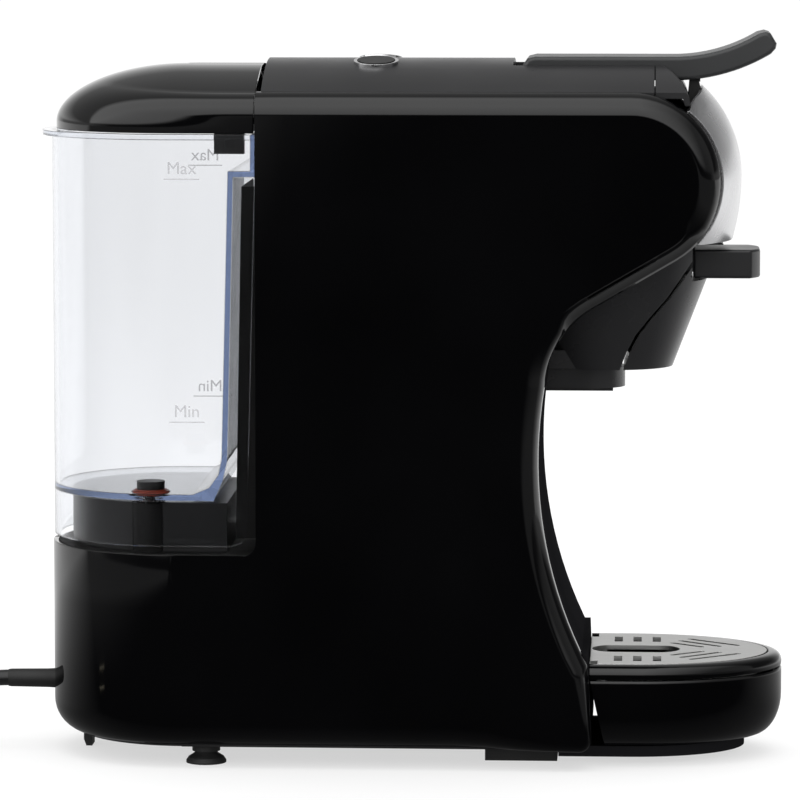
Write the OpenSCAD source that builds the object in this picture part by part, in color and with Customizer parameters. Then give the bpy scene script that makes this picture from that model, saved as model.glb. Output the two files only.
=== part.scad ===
// Pod coffee machine with a lifting lever, a slide-in capsule holder,
// a clear water tank at the back and a drip tray at the front.
// Millimetres.  +Z is up, the front faces -Y and X is the width.
// The origin is on the surface under the feet, in the middle of the machine.

/* [Body] */
// Width of the body
body_w = 118; // [114:1:122]
// Height of the straight top edge of the side shells
body_top = 287.5; // [286:0.5:289]
// Height of the underside of the body above the surface
body_under = 8; // [7.5:0.5:8.5]
// Wall thickness of the housing parts
wall = 2.5; // [2:0.25:3]

/* [Lever] */
// Width of the lever
lever_w = 44; // [38:1:46]
// Thickness of the lever's handle
lever_t = 10; // [8:0.5:11]

/* [Tank] */
// Half width of the water tank
tank_half = 54; // [53:0.5:54.5]
// Wall thickness of the water tank
tank_wall = 2.2; // [1.8:0.1:2.6]

/* [Drip tray] */
// Half width of the drip tray
tray_half = 48.5; // [46:0.5:50]
// Height of the drip grid's top face
grid_top = 44; // [43.5:0.5:45]

/* [Buttons] */
// Distance of each button from the middle of the machine
button_x = 18; // [16:1:20]
// Diameter of the button caps
button_d = 16; // [14:0.5:16]

/* [Cord] */
// Diameter of the power cord
cord_d = 7; // [6:0.5:7.5]

/* [Hidden] */
$fn = 96;

// Body: half width, seams between the shells and the middle parts
body_half = body_w / 2;
seam_x = 50;
seam_gap = 0.2;
body_back = 62;
shoulder_r = 10;
bottom_r = 14;
// Arch of the top: its radius and its highest point
arch_r = 104;
crown = body_top + 12.5;
// Round front of the head, seen from the side
bulge_y = -93.8;
bulge_r = 38;
bulge_z = body_top - bulge_r;
// Slanted underside of the head: its angle and the point where it leaves the bulge
slant_a = 30.2;
slant_y = bulge_y - bulge_r * sin(slant_a);
slant_z = bulge_z - bulge_r * cos(slant_a);
// Rounded inner corner under the head and the long hollow curve of the column
corner_r = 40;
corner_y = -98;
corner_z = 161.6;
hollow_r = 190;
hollow_y = -245.4;
hollow_z = 132;
// Base block behind the column, round at the back
base_cy = 97.5;
deck_z = 91.4;
// Tank
tank_cy = 102;
tank_foot = 94.5;
tank_rim = 269.4;
tank_floor = 116.5;
pocket_top = 251.5;
// Tank lid
lid_cy = 97;
lid_half = 57;
lid_z = 269.8;
lid_top = 297.7;
lid_front = 64.2;
// Valve in the tank's floor
valve_x = -40;
valve_y = 110;
// Lever: hinge, radius of the upswept tip and radii of the curved leg
hinge_y = -52;
hinge_z = 293.5;
hinge_pin_d = 4;
lever_top = 301.2;
sweep_r = 69;
sweep_y = -112;
leg_out = 71;
leg_in = 66.5;
leg_w = 28;
// Brew head: a cone that hangs from the slanted underside
head_y = -86;
head_z = 168;
head_r0 = 26;
head_r1 = 45;
head_top = 221;
cone_slope = (head_r1 + 1.4 - head_r0) / (head_top - head_z);
piston_d = 36;
guide_z = 221.3;
// Capsule holder and the slot that it slides in
holder_z0 = 208;
holder_z1 = 220.6;
slot_half = 24.6;
slot_z0 = 207.7;
// Nose cover: radius of its plan curve
nose_plan_r = 130;
nose_front = -141;
nose_top = 289;
// Drip tray: centre and length of its oval front
oval_y = -95;
tray_front = 65;
tray_z0 = 8.2;
rim_z0 = 38;
// Buttons
button_y = 15;
button_tilt = asin(button_x / arch_r);
// Screws of the base plate
screw_spots = [[-36, -56], [36, -56], [-36, 70], [36, 70]];
// Power cord: exit, coil on the surface, and hand-picked route points
cord_y = 156.2;
cord_z = 29;
gland_l = 21;
coil_x = -44;
coil_y = 240;
coil_outer = 45.8;
coil_inner = 31.4;
coil_h = 14.2;
cord_route = [
    [0, 177.5, 29], [0, 184, 28.5], [0, 192, 26.5], [0, 200, 23], [0, 208, 18.5],
    [0, 216, 14.5], [0, 224, 12], [-0.5, 232, 11], [-2, 243, 10.6]
];
// Short stretch from the coil to the plug
plug_y = coil_y + 54;
plug_z = 7.8;
plug_route = [
    [-11.7, 267, 3.8], [-18, 274.6, 4.2], [-24.6, 282.4, 5], [-30, 287.4, 6],
    [-36.5, 291.4, 7], [-43, 293.6, 7.7], [-48, 294, 7.8], [-51.9, 294, 7.8]
];

// ---------- shared outlines ----------

// Clear space in front of the column and under the head, seen from the side,
// grown by e
module bay_2d(e = 0) {
    // the straight edge cuts a hair into both circles that it joins
    slope = tan(slant_a);
    lift = (e + 0.1) / cos(slant_a);
    t = [slant_y, slant_z + lift];
    far = [-200, slant_z + lift + slope * (slant_y + 200)];
    touch_r = corner_r + e - 0.2;
    touch = [corner_y + touch_r * sin(slant_a), corner_z + touch_r * cos(slant_a)];
    intersection() {
        translate([hollow_y, hollow_z]) circle(r = hollow_r + e, $fn = 180);
        translate([-200, 50 - e]) square([200, corner_z - 44 + e]);
    }
    translate([corner_y, corner_z]) circle(r = corner_r + e);
    polygon([far, t, touch, [corner_y, corner_z], [-200, corner_z]]);
    polygon([[-200, 50.1], [-76.6 + e, 50.1], [-78.5 + e, 0], [-200, 0]]);
}

// Side outline of the column and the head, made smaller by e
module side_2d(e = 0) {
    difference() {
        union() {
            translate([bulge_y, bulge_z]) circle(r = bulge_r - e);
            polygon([
                [bulge_y, bulge_z], [bulge_y, 400], [body_back - e, 400],
                [body_back + 4 - e, deck_z - 2], [body_back + 4 - e, body_under + e],
                [slant_y, body_under + e], [slant_y + e * sin(slant_a), slant_z + e * cos(slant_a)]
            ]);
        }
        bay_2d(e);
    }
}

// Front view of the body: straight sides, round bottom edges and a crowned top
module front_2d(e = 0) {
    half = body_half - e;
    low = body_under + e;
    r0 = bottom_r - e;
    r1 = shoulder_r - e;
    shoulder_z = body_top - shoulder_r;
    translate([-half, low + r0]) square([2 * half, shoulder_z - low - r0]);
    translate([-half + r0, low]) square([2 * (half - r0), shoulder_z - low]);
    translate([-half + r1, low + r0]) square([2 * (half - r1), body_top - e - low - r0]);
    for (s = [-1, 1]) {
        translate([s * (half - r0), low + r0]) circle(r = r0);
        translate([s * (half - r1), shoulder_z]) circle(r = r1);
    }
    intersection() {
        translate([0, crown - arch_r]) circle(r = arch_r - e, $fn = 180);
        translate([-seam_x, body_top - 20]) square([2 * seam_x, 60]);
    }
}

// Column and head as one solid, made smaller by e
module tower_solid(e = 0) {
    intersection() {
        rotate([90, 0, 90]) linear_extrude(height = body_w + 2, center = true) side_2d(e);
        translate([0, 80, 0]) rotate([90, 0, 0]) linear_extrude(height = 240) front_2d(e);
    }
}

// Half of a cross-section with rounded outer corners, for turning round the back
module half_2d(half, z0, z1, r0, r1) {
    translate([0, z0]) square([half - r0, z1 - z0]);
    translate([0, z0 + r0]) square([half, z1 - z0 - r0 - r1]);
    translate([half - r0, z0 + r0]) circle(r = r0);
    if (r1 > 0.2) {
        translate([0, z0]) square([half - r1, z1 - z0]);
        translate([half - r1, z1 - r1]) circle(r = r1);
    }
}

// Block with straight sides and a half-round back, from y0 to yc + half
module round_back(half, yc, y0, z0, z1, r0 = 0.01, r1 = 0) {
    translate([0, yc, 0]) rotate_extrude(angle = 180)
        intersection() {
            half_2d(half, z0, z1, r0, r1);
            translate([0, z0 - 1]) square([half + 1, z1 - z0 + 2]);
        }
    translate([0, yc, 0]) rotate([90, 0, 0]) linear_extrude(height = yc - y0)
        for (s = [0, 1]) mirror([s, 0]) half_2d(half, z0, z1, r0, r1);
}

// Plain prism with straight sides and a half-round back
module d_prism(half, yc, y0, z0, z1) {
    translate([0, 0, z0]) linear_extrude(height = z1 - z0) {
        intersection() {
            translate([0, yc]) circle(r = half, $fn = 180);
            translate([-half - 1, yc - 0.1]) square([2 * half + 2, half + 2]);
        }
        translate([-half, y0]) square([2 * half, yc - y0]);
    }
}

// A side profile in the YZ plane pulled out to x = -half .. half
module side_prism(half) {
    rotate([90, 0, 90]) linear_extrude(height = 2 * half, center = true) children();
}

// ---------- housing ----------

module side_shell() {
    difference() {
        union() {
            difference() {
                tower_solid(0);
                translate([-100, body_back + 2, deck_z]) cube([200, 40, 300]);
            }
            intersection() {
                round_back(body_half, base_cy, 55, body_under, deck_z + 20, bottom_r, 0);
                translate([-100, 50, 0]) cube([200, 200, deck_z]);
            }
        }
        tower_solid(wall);
        round_back(body_half - wall, base_cy, 40, body_under + wall, deck_z + 20, bottom_r - wall, 0);
        // the middle parts fill the space between the seams
        translate([-seam_x, -200, 0]) cube([2 * seam_x, 265, 400]);
        translate([-seam_x, 60, 0]) cube([2 * seam_x, 60, body_under + wall]);
        translate([0, base_cy, 0]) cylinder(r = seam_x, h = body_under + wall);
        // open slot for the cord gland
        translate([0, 140, cord_z]) rotate([-90, 0, 0]) cylinder(d = 13, h = 30);
        // only this half of the machine
        translate([-seam_gap / 2, -200, 0]) cube([200, 500, 400]);
        // thin vent above the slanted edge
        translate([-body_half - 1, -75.5, 198.2]) rotate([-slant_a, 0, 0])
            translate([0, -34, 0]) cube([wall + 3, 34, 1.6]);
    }
}

module left_side_shell() {
    color([0.03, 0.03, 0.035]) side_shell();
}

module right_side_shell() {
    color([0.03, 0.03, 0.035]) mirror([1, 0, 0]) side_shell();
}

// Straight run of the crowned top between y0 and y1, outer face lowered by e
module crown_run(y0, y1, e) {
    translate([0, y1, 0]) rotate([90, 0, 0]) linear_extrude(height = y1 - y0)
        intersection() {
            translate([0, crown - arch_r]) circle(r = arch_r - e, $fn = 180);
            translate([-seam_x + seam_gap, 270]) square([2 * (seam_x - seam_gap), 60]);
        }
}

module lever_pocket(grow, z0) {
    translate([-lever_w / 2 - 0.7 - grow, -130, z0])
        cube([lever_w + 1.4 + 2 * grow, 130 - 43.5 + grow, 30]);
}

module button_place(side) {
    translate([0, button_y, crown - arch_r]) rotate([0, side * button_tilt, 0])
        translate([0, 0, arch_r]) children();
}

module hinge_bore(d) {
    translate([0, hinge_y, hinge_z]) rotate([0, 90, 0])
        cylinder(d = d, h = 60, center = true);
}

module top_cover() {
    color([0.09, 0.09, 0.1])
    difference() {
        union() {
            difference() {
                crown_run(-103.5, 61.8, 0);
                crown_run(-110, 58.5, wall);
                translate([-60, -120, 260]) cube([120, 190, body_top - 1.5 - 260]);
            }
            intersection() {
                crown_run(-103.5, 61.8, 0);
                lever_pocket(wall, 285.8);
            }
        }
        lever_pocket(0, 288.2);
        hinge_bore(hinge_pin_d + 0.04);
        for (side = [-1, 1])
            button_place(side) translate([0, 0, -20]) cylinder(d = 19.1, h = 40);
    }
}

// Rounded front end of the top, outer face lowered by e
module corner_solid(e) {
    end_r = 22;
    end_y = -97;
    intersection() {
        crown_run(-130, -103.9 + e, e);
        side_prism(60) {
            translate([end_y, crown - end_r]) circle(r = end_r - e);
            translate([end_y, 240]) square([20, crown - 240]);
        }
    }
}

module front_corner() {
    // front end of the top, open in the middle for the lever's leg
    color([0.09, 0.09, 0.1])
    difference() {
        union() {
            difference() {
                corner_solid(0);
                corner_solid(wall);
            }
            intersection() {
                corner_solid(0);
                lever_pocket(wall, 287.6);
            }
        }
        lever_pocket(0, 290);
        translate([-60, -140, 230]) cube([120, 60, 51.5]);
        translate([-leg_w / 2 - 1, hinge_y, hinge_z]) rotate([0, 90, 0])
            difference() {
                cylinder(r = 100, h = leg_w + 2);
                translate([0, 0, -1]) cylinder(r = leg_in - 1, h = leg_w + 4);
            }
    }
}

// Half of the nose's arc, above or below the belly line
module nose_arc(r, z0, z1) {
    belly_z = 250;
    skin = 2.2;
    intersection() {
        difference() {
            translate([nose_plan_r - r, belly_z]) circle(r = r, $fn = 180);
            translate([nose_plan_r - r, belly_z]) circle(r = r - skin, $fn = 180);
        }
        translate([nose_plan_r - 24, z0]) square([40, z1 - z0]);
    }
}

module nose_cover() {
    // double-curved skin: an arc turned about an upright axis
    axis_y = nose_front + nose_plan_r;
    color([0.55, 0.55, 0.57])
    difference() {
        intersection() {
            translate([0, axis_y, 0]) rotate_extrude($fn = 180) {
                nose_arc(52, 250, nose_top);
                nose_arc(100, 223, 250);
            }
            // straight sides and a crowned top edge
            translate([0, -90, 0]) rotate([90, 0, 0]) linear_extrude(height = 60) intersection() {
                translate([-seam_x + seam_gap, 200]) square([2 * (seam_x - seam_gap), 100]);
                translate([0, nose_top - 130]) circle(r = 130, $fn = 180);
            }
        }
        // the leg of the lever passes close behind the top edge
        translate([-leg_w / 2 - 1, hinge_y, hinge_z]) rotate([0, 90, 0])
            cylinder(r = leg_out + 0.6, h = leg_w + 2);
    }
}

module column_front() {
    // front skin of the column, from the head down to the drip tray
    color([0.05, 0.05, 0.055])
    intersection() {
        side_prism(seam_x - seam_gap)
            difference() {
                side_2d(0);
                side_2d(wall);
            }
        translate([-60, -100, body_under + wall + 0.1]) cube([120, 60, 176 - body_under - wall]);
    }
}

module rear_wall() {
    // wall behind the tank, with the upright guide that the tank slides down on
    color([0.04, 0.04, 0.045]) {
        translate([-seam_x + seam_gap, 58.8, deck_z + 0.1])
            cube([2 * (seam_x - seam_gap), 2.8, 284.5 - deck_z]);
        difference() {
            translate([-44, 61.6, 97]) cube([88, 13, 150]);
            // front face leans like the tank's own wall
            translate([-60, 73.6, 90]) rotate([1.1, 0, 0]) cube([120, 20, 170]);
        }
    }
}

module base_deck() {
    color([0.04, 0.04, 0.045])
    difference() {
        d_prism(body_half - wall - 0.1, base_cy, 58.8, deck_z - wall, deck_z);
        translate([valve_x, valve_y, 0]) cylinder(d = 16, h = 200);
    }
}

module tank_dock() {
    color([0.05, 0.05, 0.055])
    difference() {
        d_prism(46, 102, 77, deck_z + 0.05, 112.4);
        d_prism(43.5, 102, 79.5, deck_z - 5, 109.9);
        translate([valve_x, valve_y, 0]) cylinder(d = 16.2, h = 200);
    }
}

module dock_inlet() {
    // socket that the tank's outlet drops into, with its open throat
    color([0.12, 0.12, 0.12])
    translate([valve_x, valve_y, 0])
    difference() {
        translate([0, 0, 84]) cylinder(d = 15.8, h = 28);
        translate([0, 0, 100]) cylinder(d = 12.6, h = 20);
        translate([0, 0, 80]) cylinder(d = 5.4, h = 40);
    }
}

module base_plate() {
    color([0.05, 0.05, 0.05])
    difference() {
        union() {
            translate([-seam_x + seam_gap, -75.5, body_under]) cube([2 * (seam_x - seam_gap), 172, wall]);
            translate([0, base_cy - 1, body_under]) cylinder(r = seam_x - seam_gap - 1, h = wall);
        }
        for (p = screw_spots) translate([p[0], p[1], 0]) {
            cylinder(d = 3.7, h = 40);
            cylinder(d = 7.4, h = body_under + 1.2);
        }
    }
}

module frame_posts() {
    // short posts that take the screws of the base plate
    color([0.06, 0.06, 0.06])
    for (p = screw_spots) translate([p[0], p[1], body_under + wall])
        difference() {
            cylinder(d = 9, h = 24);
            translate([0, 0, -1]) cylinder(d = 3.5, h = 18);
        }
}

module base_screws() {
    color([0.6, 0.6, 0.62])
    for (p = screw_spots) translate([p[0], p[1], body_under - 0.2])
        difference() {
            union() {
                cylinder(d = 7, h = 1.3);
                cylinder(d = 3.4, h = 16);
            }
            translate([0, 0, -0.1]) cube([5, 1, 1.2], center = true);
            translate([0, 0, -0.1]) cube([1, 5, 1.2], center = true);
        }
}

// ---------- brew head ----------

module head_cone(inset) {
    translate([0, head_y, head_z])
        cylinder(r1 = head_r0 - inset, r2 = head_r1 + 1.4 - inset, h = head_top - head_z, $fn = 120);
}

// The part of space in front of the slanted joint between the two head pieces
module head_joint(gap) {
    side_prism(70)
        polygon([
            [-200, 230], [-130.5 - gap, 230], [-109.3 - gap, 199.3], [-101.8 - gap, 190.8],
            [-96 - gap, 183.4], [-92 - gap, 175.4], [-89.3 - gap, 168], [-87 - gap, 160], [-200, 160]
        ]);
}

module holder_slot() {
    translate([-slot_half, -160, slot_z0]) cube([2 * slot_half, 99, head_top + 5 - slot_z0]);
}

module brew_room() {
    // hollow inside the head, down to the outlet
    translate([0, head_y, head_z + 4])
        cylinder(r1 = head_r0 - 5, r2 = head_r1 - 5, h = head_top - head_z, $fn = 120);
    translate([0, -76, 150]) cylinder(d = 12, h = 40);
}

module head_underside() {
    // skin between the side shells that follows the slanted underside
    top_z = 226;
    color([0.05, 0.05, 0.055])
    difference() {
        side_prism(seam_x - seam_gap)
            intersection() {
                difference() {
                    side_2d(0);
                    side_2d(wall);
                }
                translate([-128, 176.2]) square([90, top_z - 176.2]);
            }
        // the cone, carried on upward at the same slope
        translate([0, head_y, head_z])
            cylinder(r1 = head_r0 + 0.1, r2 = head_r0 + 0.1 + 62 * cone_slope, h = 62, $fn = 120);
    }
}

// Everything behind the front face of the column, up to the slanted underside
module behind_column() {
    side_prism(70)
        intersection() {
            side_2d(-0.1);
            translate([-70, 140]) square([70, 36.2]);
        }
}

module brew_head_rear() {
    // back part of the hanging cone, with a heel that meets the column
    color([0.05, 0.05, 0.055])
    difference() {
        union() {
            head_cone(0);
            translate([-21, -72, head_z]) cube([42, 16, 8]);
        }
        head_joint(0);
        behind_column();
        brew_room();
        holder_slot();
        // open above the grip of the capsule holder
        translate([-60, -200, slot_z0 - 1.8]) cube([120, 80, 40]);
    }
}

module brew_head_front() {
    color([0.05, 0.05, 0.055])
    difference() {
        intersection() {
            head_cone(0);
            head_joint(1.6);
            translate([-60, -160, 150]) cube([120, 100, 64]);
        }
        brew_room();
        holder_slot();
        // open above the grip of the capsule holder
        translate([-60, -200, slot_z0 - 1.8]) cube([120, 80, 40]);
    }
}

module piston_guide() {
    // upper block of the brew head, bored for the piston
    color([0.04, 0.04, 0.045])
    difference() {
        translate([-27, -110, guide_z]) cube([54, 46, 14]);
        translate([0, head_y, guide_z - 1]) cylinder(d = piston_d + 0.1, h = 30);
    }
    color([0.04, 0.04, 0.045])
    difference() {
        translate([-20, -133.2, guide_z]) cube([40, 23.2, 11]);
        translate([0, head_y, guide_z - 1]) cylinder(d = piston_d + 0.1, h = 30);
        // slanted lower front edge
        translate([-30, -133.7, guide_z - 0.1]) rotate([-55, 0, 0]) translate([0, -10, -6]) cube([60, 10, 12]);
    }
}

module spout() {
    color([0.04, 0.04, 0.045])
    difference() {
        union() {
            translate([0, -76, 159]) cylinder(r = 15.6, h = head_z - 159 - 0.1);
            translate([-15.6, -76, 159]) cube([31.2, 20, head_z - 159 - 0.1]);
            translate([-7, -86.4, 157.2]) cube([14, 30, 3]);
        }
        translate([0, -76, 150]) cylinder(d = 9, h = 30);
        behind_column();
    }
}

module piston() {
    color([0.15, 0.15, 0.16])
    translate([0, head_y, guide_z]) {
        difference() {
            cylinder(d = piston_d, h = 16);
            translate([0, 0, 3]) cylinder(d = piston_d - 6, h = 20);
            cylinder(d = 26, h = 1.6);
        }
        // cross rib that the lever pushes on
        translate([-15.5, -2, 3]) cube([31, 4, 11]);
    }
}

module needle_seal() {
    color([0.5, 0.12, 0.1])
    translate([0, head_y, guide_z + 0.05]) difference() {
        cylinder(d = 25.9, h = 1.5);
        translate([0, 0, -1]) cylinder(d = 12, h = 4);
    }
}

// ---------- capsule holder ----------

module holder_handle() {
    color([0.06, 0.06, 0.06]) {
        // grip outside the head
        difference() {
            translate([0, -135, holder_z0 - 1.5]) linear_extrude(height = 12.5)
                intersection() {
                    translate([-16.5, -14.2]) square([33, 28.8]);
                    translate([0, 13]) circle(r = 28.4);
                }
            translate([-20, -120.4, holder_z0 - 3]) cube([40, 10, 30]);
        }
        // flat neck to the basket
        translate([-16.5, -120.5, holder_z0 + 1]) cube([33, 15.6, 9]);
    }
}

module holder_basket() {
    color([0.1, 0.1, 0.1])
    difference() {
        translate([0, head_y, holder_z0]) cylinder(r = 23.6, h = holder_z1 - holder_z0);
        translate([0, head_y, holder_z0 + 2]) cylinder(r = 16, h = 20);
        translate([-30, -130, holder_z0 - 1]) cube([60, 25.15, 30]);
        for (a = [0:60:300])
            translate([0, head_y, holder_z0 - 1]) rotate(a) translate([9, 0, 0]) cylinder(d = 3, h = 6);
        translate([0, head_y, holder_z0 - 1]) cylinder(d = 4, h = 6);
    }
}

// ---------- lever ----------

// Side outline of the lever: hinge eye, straight bar and upswept rounded handle
function lever_outline() =
    let (
        sweep_z = lever_top + sweep_r,
        sweep_a = 31,
        under_r = sweep_r + lever_t,
        tip_y = sweep_y - (sweep_r + lever_t / 2) * sin(sweep_a),
        tip_z = sweep_z - (sweep_r + lever_t / 2) * cos(sweep_a)
    )
    concat(
        [[hinge_y - 0.7, lever_top], [-49, 301.6], [-47.4, 298.4]],
        [for (t = [0:10:140]) [hinge_y + 4.6 * cos(t), hinge_z - 4.6 * sin(t)]],
        [[-66, lever_top - lever_t]],
        [for (a = [0:1:sweep_a]) [sweep_y - under_r * sin(a), sweep_z - under_r * cos(a)]],
        [for (t = [10:10:170]) [
            tip_y + lever_t / 2 * cos(sweep_a - 90 - t - 62),
            tip_z + lever_t / 2 * sin(sweep_a - 90 - t - 62)
        ]],
        [for (a = [sweep_a:-1:0]) [sweep_y - sweep_r * sin(a), sweep_z - sweep_r * cos(a)]]
    );

module lever() {
    color([0.07, 0.07, 0.075])
    difference() {
        side_prism(lever_w / 2) polygon(lever_outline());
        hinge_bore(hinge_pin_d + 0.1);
    }
}

module lever_leg() {
    // curved leg, bent round the hinge so that it swings through its slot
    rib_step = 3;
    color([0.05, 0.05, 0.05])
    difference() {
        side_prism(leg_w / 2)
            intersection() {
                difference() {
                    translate([hinge_y, hinge_z]) circle(r = leg_out, $fn = 180);
                    translate([hinge_y, hinge_z]) circle(r = leg_in, $fn = 180);
                    // its top fits the underside of the handle
                    translate([sweep_y, lever_top + sweep_r]) circle(r = sweep_r + lever_t + 0.02, $fn = 180);
                }
                polygon([
                    [hinge_y, hinge_z], [hinge_y - 100, hinge_z],
                    [hinge_y - 100, hinge_z - 100 * tan(46)]
                ]);
            }
        // shallow grip ribs across the outer face
        for (i = [0:9])
            translate([0, hinge_y, hinge_z]) rotate([3 + rib_step * i * 1.5, 0, 0])
                translate([0, -leg_out, 0]) cube([leg_w + 2, 1, 1.2], center = true);
    }
}

module lever_pin() {
    color([0.6, 0.6, 0.62])
    translate([0, hinge_y, hinge_z]) rotate([0, 90, 0])
        cylinder(d = hinge_pin_d, h = lever_w + 1.4 + 2 * wall, center = true);
}

// ---------- buttons ----------

module button(side) {
    color([0.05, 0.05, 0.055])
    button_place(side) {
        translate([0, 0, -2]) cylinder(d = button_d, h = 3.4);
        translate([0, 0, -9]) cylinder(d = 6, h = 7);
    }
}

module button_left() {
    button(-1);
}

module button_right() {
    button(1);
}

module button_rings() {
    color([0.75, 0.75, 0.77])
    for (side = [-1, 1]) button_place(side) {
        difference() {
            translate([0, 0, -5.5]) cylinder(d = 19, h = 6.6);
            translate([0, 0, -4]) cylinder(d = button_d + 0.4, h = 10);
            translate([0, 0, -8]) cylinder(d = 6.15, h = 10);
        }
    }
}

// ---------- water tank ----------

module tank() {
    half = tank_half;
    inner = half - tank_wall;
    color([0.8, 0.85, 0.9, 0.5])
    difference() {
        union() {
            intersection() {
                d_prism(half, tank_cy, 60, tank_foot, tank_rim);
                // front edge leans back towards the foot
                side_prism(80) polygon([
                    [200, tank_foot], [75, tank_foot], [70, 96], [68, 101], [63.8, tank_rim], [200, tank_rim]
                ]);
            }
            // rim flange
            intersection() {
                d_prism(half + 4, tank_cy, 63.8, tank_rim - 2.2, tank_rim);
                translate([-half - 4, 63.8, 0]) cube([2 * half + 8, 200, 300]);
            }
        }
        // water space
        intersection() {
            d_prism(inner, tank_cy, 60, tank_floor, tank_rim + 1);
            side_prism(80) polygon([
                [200, tank_floor], [91, tank_floor], [84, 119.5], [80, 125], [78.6, 132],
                [75.6, pocket_top + 2.2], [66.2, pocket_top + 2.2], [66, tank_rim + 1], [200, tank_rim + 1]
            ]);
        }
        // pocket in front that the guide of the body fills
        intersection() {
            translate([-inner, 50, 90]) cube([2 * inner, 40, pocket_top - 90]);
            side_prism(80) polygon([
                [50, 80], [82.2, 80], [82.2, tank_floor - 2.5], [78.4, 122.5], [76.4, 131], [73.6, pocket_top], [50, pocket_top]
            ]);
        }
        // hollow skirt under the floor
        d_prism(inner, tank_cy, 60, tank_foot - 5, tank_floor - 2.5);
        // seat and hole of the valve
        translate([valve_x, valve_y, 100]) cylinder(d = 5.1, h = 30);
        translate([valve_x, valve_y, tank_floor - 1.2]) cylinder(d = 16.6, h = 5);
    }
    // outlet that reaches into the dock
    color([0.8, 0.85, 0.9, 0.5])
    translate([valve_x, valve_y, 103]) difference() {
        cylinder(d = 12, h = tank_floor - 2.5 - 103);
        translate([0, 0, -1]) cylinder(d = 5.1, h = 30);
    }
}

module tank_valve() {
    color([0.05, 0.05, 0.05])
    translate([valve_x, valve_y, 0]) {
        translate([0, 0, 102]) cylinder(d = 5, h = 17);
        translate([0, 0, tank_floor + 1.2]) cylinder(d = 11.8, h = 3.4);
    }
}

module valve_seal() {
    color([0.6, 0.16, 0.1])
    translate([valve_x, valve_y, tank_floor - 1.15]) difference() {
        union() {
            translate([0, 0, 0.6]) cylinder(d = 15.6, h = 1.1);
            cylinder(d = 13.6, h = 2.3);
        }
        translate([0, 0, -1]) cylinder(d = 5.02, h = 6);
    }
}

module lid_solid(e) {
    // crowned lid, turned round its half-round back
    half = lid_half - e;
    r1 = 9 - e;
    low_top = lid_z + 16.5;
    top = lid_top - e;
    dome_r = 126 - e;
    module half_section() {
        intersection() {
            union() {
                translate([0, lid_z - 10]) square([half, low_top - r1 - lid_z + 10]);
                translate([0, lid_z - 10]) square([half - r1, low_top - lid_z + 10]);
                translate([half - r1, low_top - r1]) circle(r = r1);
                intersection() {
                    translate([0, top - dome_r]) circle(r = dome_r, $fn = 180);
                    translate([0, low_top - 12]) square([half - r1 + 2.6, 40]);
                }
            }
            translate([0, lid_z - (e > 0 ? 1 : 0)]) square([half, 60]);
        }
    }
    translate([0, lid_cy, 0]) rotate_extrude(angle = 180) half_section();
    translate([0, lid_cy, 0]) rotate([90, 0, 0]) linear_extrude(height = lid_cy - lid_front - e)
        for (s = [0, 1]) mirror([s, 0]) half_section();
}

module tank_lid() {
    color([0.04, 0.04, 0.045]) {
        difference() {
            lid_solid(0);
            lid_solid(wall);
        }
        // inner collar that rests on the tank's rim
        difference() {
            d_prism(53.4, 98.6, 66, tank_rim + 0.3, lid_z + 3);
            d_prism(51.2, 98.6, 68.2, tank_rim - 1, lid_z + 4);
        }
        // ribs join the collar to the lid
        for (s = [-1, 1])
            translate([s * 53.9 - 0.7, 74, lid_z]) cube([1.4, 40, 3]);
    }
}

module lid_clip() {
    // clip under the lid's near front corner, with a round dimple
    color([0.05, 0.05, 0.05])
    difference() {
        union() {
            translate([-49.6, 69, 261]) cube([5, 12.6, 10.2]);
            // tab that joins it to the lid's collar
            translate([-51.2, 69, tank_rim + 0.3]) cube([2, 12.6, 271.2 - tank_rim - 0.3]);
        }
        translate([-50, 75, 265.5]) rotate([0, 90, 0]) cylinder(d = 4.6, h = 1.4);
    }
}

// ---------- drip tray ----------

// Plan of the tray: straight sides from the back, then half an oval
function oval(half, len, back) = concat(
    [[half, back]],
    [for (t = [0:5:180]) [half * cos(t), oval_y - len * sin(t)]],
    [[-half, back]]
);

module oval_slice(inset, z, back = -76.8) {
    translate([0, 0, z]) linear_extrude(height = 0.02)
        polygon(oval(tray_half - inset, tray_front - inset, back));
}

// Space in front of the slanted back face of the tray, moved forward by e
module tray_back_trim(e = 0) {
    side_prism(80)
        polygon([[-200, 0], [-85.6 - e, 0], [-77.2 - e, 38], [-77 - e, 50], [-200, 50]]);
}

module drip_tray() {
    color([0.03, 0.03, 0.035])
    intersection() {
        difference() {
            hull() {
                oval_slice(11, tray_z0);
                oval_slice(6, tray_z0 + 2);
                oval_slice(2.4, tray_z0 + 6);
                oval_slice(0.4, tray_z0 + 12);
                oval_slice(0, tray_z0 + 18);
                oval_slice(0, rim_z0 - 0.4);
            }
            // basin, with a back wall that leans as the outer face does
            intersection() {
                union() {
                    translate([0, 0, tray_z0 + 14]) linear_extrude(height = 40)
                        polygon(oval(tray_half - 3.5, tray_front - 3.5, -70));
                    translate([0, 0, tray_z0 + 3]) linear_extrude(height = 40)
                        polygon(oval(tray_half - 12, tray_front - 12, -70));
                }
                tray_back_trim(3.5);
            }
        }
        tray_back_trim();
    }
}

module tray_rim() {
    color([0.03, 0.03, 0.035])
    intersection() {
        difference() {
            hull() {
                oval_slice(0.5, rim_z0);
                oval_slice(0, rim_z0 + 0.6);
                oval_slice(0, rim_z0 + 2.4);
                oval_slice(0.8, rim_z0 + 4.3);
                oval_slice(2.3, rim_z0 + 5.5);
                oval_slice(4, grid_top - 0.1);
            }
            translate([0, 0, rim_z0 - 1]) linear_extrude(height = 40)
                polygon(oval(tray_half - 7.5, tray_front - 8, -80.6));
            translate([0, 0, grid_top - 2.3]) linear_extrude(height = 40)
                polygon(oval(tray_half - 5.7, tray_front - 6.2, -60));
        }
        tray_back_trim();
    }
}

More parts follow.
